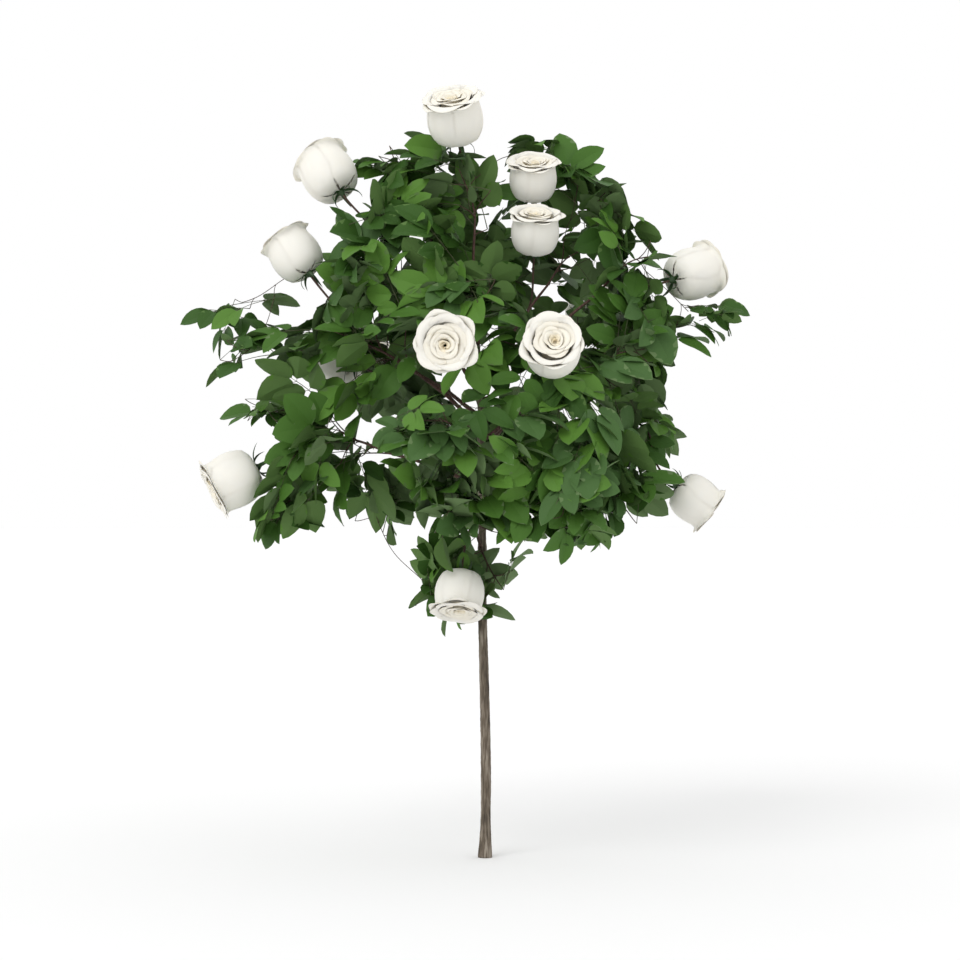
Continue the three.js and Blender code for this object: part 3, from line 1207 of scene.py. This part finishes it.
    def choose(self, base: Array, wish: Array, light: Array, scale: float, rng: Rng) -> Leaf | None:
        """Finds a direction for a leaf in which there is room for it.

        Of directions scattered round the wished one, it takes the one that scores best, by its closeness to
        the wish and by the distance from its middle to the nearest leaf's. A leaf that fits nowhere is
        tried smaller, in more scattered directions. It fits where its tip and the tips of its side leaflets
        are inside a mass.

        Args:
            base: where the leaf starts.
            wish: the unit direction that it would take in free air.
            light: the unit direction that it turns its face to.
            scale: its size.
            rng: the source of the directions.

        Returns:
            The leaf's place, or None where no leaf fits.
        """
        for smaller, search in self.attempts:
            tries = unit(wish + rng.normal(0, search, (self.tries, 3)))
            faces = unit(light - (tries @ light)[:, None] * tries)
            size = scale * smaller
            whole = (self.leaf.stalk + self.leaf.leaflet) * size
            across = np.cross(tries, faces) * self.leaf.leaflet * size * 0.8
            tips = base + tries * whole - UP * self.leaf.sink * self.leaf.leaflet * size
            middles = base + tries * whole * self.middle
            fits = self.clear(tips, self.tip_room) & self.clear(middles, self.middle_room)
            for number in np.flatnonzero(fits):
                sides = (middles[number] + across[number], middles[number] - across[number])
                fits[number] = self.held(tips[number], self.slack) and all(
                    self.held(side, self.side_slack) for side in sides
                )
            if not fits.any():
                continue
            crowd = np.full(self.tries, self.crowd)
            if self.middles:
                taken = np.array(self.middles)
                crowd = np.linalg.norm(middles[:, None] - taken[None], axis=2).min(axis=1)
            score = np.minimum(crowd, self.crowd) / self.crowd * self.crowd_weight + tries @ wish
            best = np.where(fits, score, -np.inf).argmax()
            self.middles.append(middles[best])
            return Leaf(base, tries[best], faces[best], size)
        return None

    def leaves(self, shoots: list[Limb], mass: Mass, count: int, size: float, rng: Rng) -> list[Leaf]:
        """Sets leaves on the shoots, from their tips back, each a golden angle round from the last.

        Args:
            shoots: the shoots.
            mass: the mass that the shoots are in.
            count: how many leaves to set, at most.
            size: the leaves' mean size against the usual one.
            rng: the source of their differences.

        Returns:
            The leaves' places.
        """
        leaves = []
        flatness = float(np.clip(1.1 - mass.half[2] / mass.half[:2].max(), 0, 0.6)) / 0.6
        spots = []
        for shoot in shoots:
            shoot.used = 0.0
            length = shoot.length
            turn = rng.uniform(0, 2 * np.pi)
            places = np.arange(0, max(length * 0.8, 0.01), self.leaf_gap)
            for number, back in enumerate(places):
                spots.append((number + rng.uniform(), shoot, 1 - back / length, turn + number * GOLDEN_ANGLE))
        spots.sort(key=lambda spot: spot[0])
        for _, shoot, share, turn in spots:
            if len(leaves) >= count:
                break
            base, forward = point_at(shoot.line, share)
            across = turned(unit(np.cross(forward, UP + 0.01)), forward, np.array(turn))
            outward = unit(base - self.heart)
            lean = 0.2 if share > 0.98 else 1.0
            wish = unit(forward * 0.8 + across * lean + outward * 1.0 + UP * 0.2)
            open_air = outward * (0.75 - 0.4 * flatness) + UP * (0.62 + 0.8 * flatness)
            light = unit(open_air + rng.normal(0, 0.34, 3))
            leaf = self.choose(base, wish, light, size * rng.uniform(0.82, 1.12), rng)
            if leaf is not None:
                leaves.append(leaf)
                shoot.used = max(shoot.used, share)
        return leaves

    def grow(self, mass: Mass, bough: Limb | None, number: int) -> tuple[Patch, Patch, Patch]:
        """Grows one mass.

        Args:
            mass: the mass.
            bough: the main bough that feeds it, if one does.
            number: the mass's own number, which seeds it.

        Returns:
            The leaflets, their stalks and the leaflets' own stalks.
        """
        rng = np.random.default_rng([SEED, number])
        limb = bough or self.spine(mass, rng)
        inside = np.array([mass.share(point) < self.near for point in limb.line])
        inner = Limb(limb.line[inside], limb.radius[inside]) if inside.sum() > 4 else limb
        reach = float(np.linalg.norm(mass.centre[:2]))
        fullness = 1.0 - self.sparser * smooth(reach, *self.sparse_reach)
        size = 1.08 - self.smaller * smooth(reach, *self.small_reach)
        count = max(5, round(self.leaves_per_area * mass.spread * float(fullness)))
        targets = self.targets(mass, max(3, round(count / self.leaves_per_shoot)), rng)
        shoots = [self.shoot(target, inner, rng) for target in targets]
        leaves = self.leaves([*shoots, inner], mass, count, float(size), rng)
        leafy = [shoot.shortened() for shoot in shoots if shoot.used > 0.1]
        if bough is None:
            gaps = [np.linalg.norm(limb.line - shoot.line[0], axis=1).argmin() for shoot in leafy]
            limb.used = max(float(np.max(gaps, initial=1)) / (len(limb.line) - 1), inner.used * inside.mean())
            limb = limb.shortened()
            self.twigs.append(limb)
            self.wood.append(limb)
        self.twigs.extend(leafy)
        self.wood.extend(leafy)
        return self.leaf.build(leaves, rng)


# ------------------------ blooms
@dataclass(frozen=True)
class Whorl:
    """One ring of petals, with its sizes at a scale of 1."""

    petals: int
    neck: float  # the radius where the petals are narrowest, under their rims
    lip: float  # the radius to which the middle of a rim curls out
    height: float
    start: float  # how far up the bowl the petals begin
    wrap: float  # half the angle that a petal spans, in radians
    point: float  # how much further the rim curls out in a petal's middle than at its sides
    tone: PetalTone


@dataclass
class Bloom:
    """A large double bloom: whorls of petals in a round cup, over five sepals and a stalk."""

    thickness: float = 0.6 * MM
    tuck: float = 1.0 * MM  # how far a petal's one side lies inside its neighbour and the other outside
    drift: float = 6.0 * MM  # how far the heart lies to one side
    spiral: float = 0.12  # how much nearer the heart the last petal of an inner ring is than the first
    whorls: tuple[Whorl, ...] = (
        Whorl(5, 41.0 * MM, 55.5 * MM, 84.0 * MM, 0.00, 0.86, 0.55, PetalTone.OUTER),
        Whorl(5, 31.0 * MM, 53.5 * MM, 89.0 * MM, 0.12, 0.92, 0.15, PetalTone.OUTER),
        Whorl(4, 18.0 * MM, 38.0 * MM, 87.0 * MM, 0.35, 1.12, 0.20, PetalTone.INNER),
        Whorl(3, 12.5 * MM, 25.5 * MM, 87.0 * MM, 0.45, 1.35, 0.18, PetalTone.INNER),
        Whorl(3, 8.0 * MM, 17.5 * MM, 85.5 * MM, 0.50, 1.40, 0.14, PetalTone.INNER),
        Whorl(3, 4.5 * MM, 11.0 * MM, 81.5 * MM, 0.55, 1.5, 0.10, PetalTone.HEART),
        Whorl(2, 2.5 * MM, 6.0 * MM, 76.5 * MM, 0.60, 1.9, 0.10, PetalTone.HEART),
    )
    outer_grid: tuple[int, int] = (14, 15)  # the rows and columns of a petal that shows
    inner_grid: tuple[int, int] = (9, 11)
    sepal_length: float = 40 * MM
    sepal_width: float = 8.5 * MM
    sepal_thickness: float = 0.9 * MM
    hip_radius: float = 7.5 * MM
    hip_length: float = 13 * MM
    hip_profile: tuple[float, ...] = (0.55, 0.85, 1.0, 0.98, 0.85, 0.66, 0.46, 0.32)  # from the cup down
    stalk_radii: tuple[float, float] = (1.7 * MM, 2.1 * MM)  # at the wood and under the hip
    stalk_rings: int = 18
    # A petal's radius and height at shares of its length: a bowl with an upright wall.
    shares: tuple[float, ...] = (0.0, 0.14, 0.32, 0.52, 0.66, 0.78, 0.90, 1.03)
    bowl: tuple[float, ...] = (0.16, 0.76, 1.07, 1.15, 1.08, 1.01, 1.0, 1.0)
    rise: tuple[float, ...] = (0.0, 0.05, 0.26, 0.57, 0.77, 0.90, 0.97, 1.0)

    def whorl(self, whorl: Whorl, turn: float, rng: Rng) -> Array:
        """Works out the surfaces of one ring of petals, about the Z axis, with the cup's base at 0.

        A petal is part of a bowl: at a share v of its length it lies at radius rho(v) and height z(v), and
        across it goes round the axis by wrap * u. Above the neck its rim curls outwards, by (lip - neck) *
        s^1.5 where s goes from 0 at the neck to 1 at the rim, and most in the petal's middle, as exp(-(u /
        0.6)^2). So the bloom's outline has a soft corner at each outer petal. The rim is lower towards the
        petal's sides. One side is tucked inside the next petal and the other lies outside it, most at the
        rim, and the petals of an inner ring wind in towards the heart.

        Args:
            whorl: the ring.
            turn: the angle of its first petal.
            rng: the source of the petals' differences.

        Returns:
            The surfaces, (petals, rows, columns, 3).
        """
        rows, columns = self.outer_grid if whorl.start < 0.3 else self.inner_grid
        number = np.arange(whorl.petals)[:, None, None]
        u = np.linspace(-1, 1, columns)[None, None]
        v = np.linspace(0, 1, rows)[None, :, None] ** 0.85
        draw = partial(draws, rng, whorl.petals)
        tip = 0.05 * whorl.point * np.exp(-((u / 0.2) ** 2))
        top = 1 - draw(0.08, 0.16) * np.abs(u) ** 2.4 + tip
        at = whorl.start + (1 - whorl.start) * v * top
        curl = np.clip((at - 0.64) / 0.36, 0, 1.08) ** 1.5
        lobe = 1 - whorl.point * (1 - np.exp(-((u / 0.6) ** 2)))
        out = (whorl.lip - whorl.neck) * curl * lobe * draw(0.72, 1.2)
        tuck = self.tuck * (0.3 + 0.7 * smooth(at, 0.45, 0.95))
        inner = self.spiral * smooth(whorl.start, 0.1, 0.4)
        winding = inner * ((number + 0.5) / whorl.petals - 0.5)
        rho = (whorl.neck * eased(at, self.shares, self.bowl) + out) * (1 - winding) + tuck * u
        rho = rho + 0.9 * MM * np.sin(3.4 * u + draw(0, 6.3)) * smooth(at, 0.7, 1.0)
        z = whorl.height * draw(0.985, 1.01) * eased(at, self.shares, self.rise) - 0.25 * out * curl
        z = z + 1.3 * MM * np.sin(4.1 * u + draw(0, 6.3)) * smooth(at, 0.75, 1.0)
        width = whorl.wrap * (0.5 + 0.5 * smooth(at, -0.1, 0.5))
        angle = turn + 2 * np.pi * number / whorl.petals + draw(-0.07, 0.07) + width * u
        return np.stack([rho * np.cos(angle), rho * np.sin(angle), z + 0 * u], axis=-1)

    def sepals(self, rng: Rng) -> Array:
        """Works out five narrow sepals, which spread from the cup's base and curl back.

        Args:
            rng: the source of their differences.

        Returns:
            The surfaces, (5, rows, columns, 3).
        """
        count, rows, columns = 5, 9, 5
        u = np.linspace(-1, 1, columns)[None, None]
        v = np.linspace(0, 1, rows)[None, :, None]
        draw = partial(draws, rng, count)
        length = self.sepal_length * draw(0.8, 1.15)
        width = self.sepal_width / 2 * (0.75 + 0.25 * np.sin(np.pi * v)) * (1 - v**1.6) + 0.15 * MM
        bend = draw(1.0, 2.1)
        outwards = 4 * MM + length * np.sin(bend * v) / bend
        height = -1 * MM + 3 * MM * v - length * (1 - np.cos(bend * v)) / bend
        angle = 2 * np.pi * np.arange(count)[:, None, None] / count + draw(-0.2, 0.2)
        side = u * width
        x = outwards * np.cos(angle) - side * np.sin(angle)
        y = outwards * np.sin(angle) + side * np.cos(angle)
        return np.stack([x, y, height + 0.25 * np.abs(side) + 0 * u], axis=-1)

    def placed(self, points: Array, cup: Cup, spin: float) -> Array:
        """Turns points from the Z axis to the cup's axis, and moves them to its base at its scale."""
        third = cup.axis
        first = square_to(third)
        second = np.cross(third, first)
        across = np.cos(spin) * first + np.sin(spin) * second
        other = np.cross(third, across)
        return cup.base + cup.scale * (points @ np.stack([across, other, third]))

    def build(self, cup: Cup, foliage: Foliage, green: Batch, materials: list, number: int) -> None:
        """Makes one bloom: its petals, and its sepals, hip and stalk in the batch that all blooms share.

        Args:
            cup: the bloom's place.
            foliage: the wood that the stalk grows from.
            green: the batch of sepals, hips and stalks.
            materials: the petals' materials.
            number: the bloom's own number, which seeds it.
        """
        rng = np.random.default_rng([SEED, 500 + number])
        spin = rng.uniform(0, 2 * np.pi)
        batch = Batch()
        tones = list(PetalTone)
        aside = unit(np.append(rng.normal(0, 1, 2), 0)) * self.drift
        for ring, whorl in enumerate(self.whorls):
            turn = ring * np.pi / 5 + rng.uniform(-0.12, 0.12)
            surface = self.whorl(whorl, turn, rng)
            inward = (1 - whorl.neck / self.whorls[0].neck) * smooth(surface[..., 2:], 0, 0.08)
            surface = self.placed(surface + aside * inward, cup, spin)
            tone = tones.index(whorl.tone)
            batch.add(sheets(surface, self.thickness * cup.scale, (tone, tone)))
        keep(batch.build(f"{cup.name}_petals", materials, "petal"), "petals", cup.name)
        green.add(sheets(self.placed(self.sepals(rng), cup, spin), self.sepal_thickness, (0, 0)))
        rings = np.linspace(0, 1, len(self.hip_profile))
        hip = cup.base - cup.axis * self.hip_length * rings[:, None] + cup.axis * 4 * MM
        radius = self.hip_radius * np.array(self.hip_profile)
        green.add(tubes(hip[None], radius[None], 14))
        neck = cup.base - cup.axis * (self.hip_length - 5 * MM)
        below = cup.base - cup.axis * 0.075
        start, lead, _ = foliage.nearest(below - cup.axis * 0.02)
        span = float(np.linalg.norm(neck - start))
        third = neck - cup.axis * min(0.07, 0.6 * span)
        second = start + lead * 0.35 * span
        line = bezier(np.stack([start, second, third, neck])[None], self.stalk_rings)
        green.add(tubes(line, np.linspace(*self.stalk_radii, self.stalk_rings)[None], 8, 1))


# ------------------------ studio
@dataclass
class Studio:
    """The floor, the light and the camera."""

    camera_at: Triple = (-0.009, -4.5, 0.679)
    lens: float = 93.75
    sensor: float = 36.0
    middle: Triple = (0.0, 0.0, 0.8)
    key_at: Triple = (-1.8, -2.6, 3.4)
    key_strength: float = 0.9
    key_spread: float = 35.0  # degrees

    def floor(self) -> None:
        """Lays a plain pale floor at the ground."""
        size = 30.0
        corners = [(-size, -size, 0), (size, -size, 0), (size, size, 0), (-size, size, 0)]
        mesh = bpy.data.meshes.new("floor")
        mesh.from_pydata(corners, [], [(0, 1, 2, 3)])
        mesh.materials.append(FLOOR_PAINT.make())
        floor = stand("floor", mesh)

    def light(self) -> None:
        """Lights the plant: an even pale surround and a broad, soft key from the upper left front."""
        world = bpy.data.worlds.new("surround")
        world.use_nodes = True
        background = world.node_tree.nodes["Background"]
        background.inputs["Color"].default_value = (1.0, 1.0, 1.0, 1.0)
        background.inputs["Strength"].default_value = 1.0
        bpy.context.scene.world = world
        bpy.context.scene.view_settings.view_transform = "Standard"
        data = bpy.data.lights.new("key", "SUN")
        data.energy = self.key_strength
        data.angle = np.radians(self.key_spread)
        key = stand("key", data)
        key.location = self.key_at
        key.rotation_euler = (Vector(self.middle) - Vector(self.key_at)).to_track_quat("-Z", "Y").to_euler()

    def camera(self) -> None:
        """Sets a level camera in front of the plant."""
        data = bpy.data.cameras.new("camera")
        data.lens = self.lens
        data.sensor_width = self.sensor
        camera = stand("camera", data)
        camera.location = self.camera_at
        camera.rotation_euler = (np.pi / 2, 0, 0)
        bpy.context.scene.camera = camera


# ------------------------ the plant
def stacked(limbs: list[Limb], rings: int) -> tuple[Array, Array]:
    """Stacks the limbs that have this many rings into whole arrays of lines and radii."""
    chosen = [limb for limb in limbs if len(limb.line) == rings]
    return np.stack([limb.line for limb in chosen]), np.stack([limb.radius for limb in chosen])


def main() -> None:
    """Builds the studio and the plant, from the stem outwards."""
    studio = Studio()
    studio.camera()
    studio.light()
    studio.floor()
    rng = np.random.default_rng(SEED)

    stem_maker, bough_maker = Stem(), Boughs()
    stem = stem_maker.read()
    names = sorted(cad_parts)
    masses = [Mass(name) for name in names if name.startswith("leaves_")]
    masses.sort(key=lambda mass: float(np.linalg.norm(mass.centre[:2])))
    by_label = {mass.label: mass for mass in masses}
    boughs = {}
    for node in (name for name in names if name.startswith(bough_maker.prefix)):
        label = node.removeprefix(bough_maker.prefix)
        boughs[label] = bough_maker.read(node, stem, by_label[label], rng)
        bough_maker.build(node, boughs[label], rng)
    forks = np.array([limb.line[0, 2] for limb in boughs.values()])
    stem_maker.build(stem, forks, rng)

    cups = [Cup(name) for name in names if name.startswith("bloom_")]
    upper = stem.line[:, 2] > CLEAR_STEM
    foliage = Foliage([Limb(stem.line[upper], stem.radius[upper]), *boughs.values()], cups, masses)
    tops = [
        LeafFinish(f"leaf_{tone.name.lower()}", tone.colour, roughness=0.52, relief=0.3).make()
        for tone in Tone
    ]
    unders = [
        LeafFinish("leaf_under", (0.090, 0.168, 0.044), roughness=0.66, relief=0.35).make(),
        LeafFinish("leaf_under_grey", (0.115, 0.185, 0.072), roughness=0.70, relief=0.35).make(),
    ]
    stalks = Batch()
    for number, mass in enumerate(masses):
        leaves, stems, links = foliage.grow(mass, boughs.get(mass.label), number)
        batch = Batch([leaves])
        keep(batch.build(f"{mass.name}_leaflets", [*tops, *unders]), "foliage", mass.name)
        stalks.add(stems)
        stalks.add(links)
    keep(stalks.build("leaf_stalks", [LEAF_STALK.make()]), "foliage")

    green = Batch()
    petals = [tone.finish().make() for tone in PetalTone]
    for number, cup in enumerate(cups):
        Bloom().build(cup, foliage, green, petals, number)
    keep(green.build("sepals_and_flower_stalks", [CALYX_GREEN.make(), TWIG_BARK.make()]), "foliage")

    twigs = Batch()
    for rings in (foliage.twig_rings, foliage.spine_rings):
        twigs.add(tubes(*stacked(foliage.twigs, rings), 7))
    keep(twigs.build("twigs", [TWIG_BARK.make()]), "bough_bark")


if __name__ == "__main__":
    logging.basicConfig(level=logging.INFO, format="%(message)s")
    main()
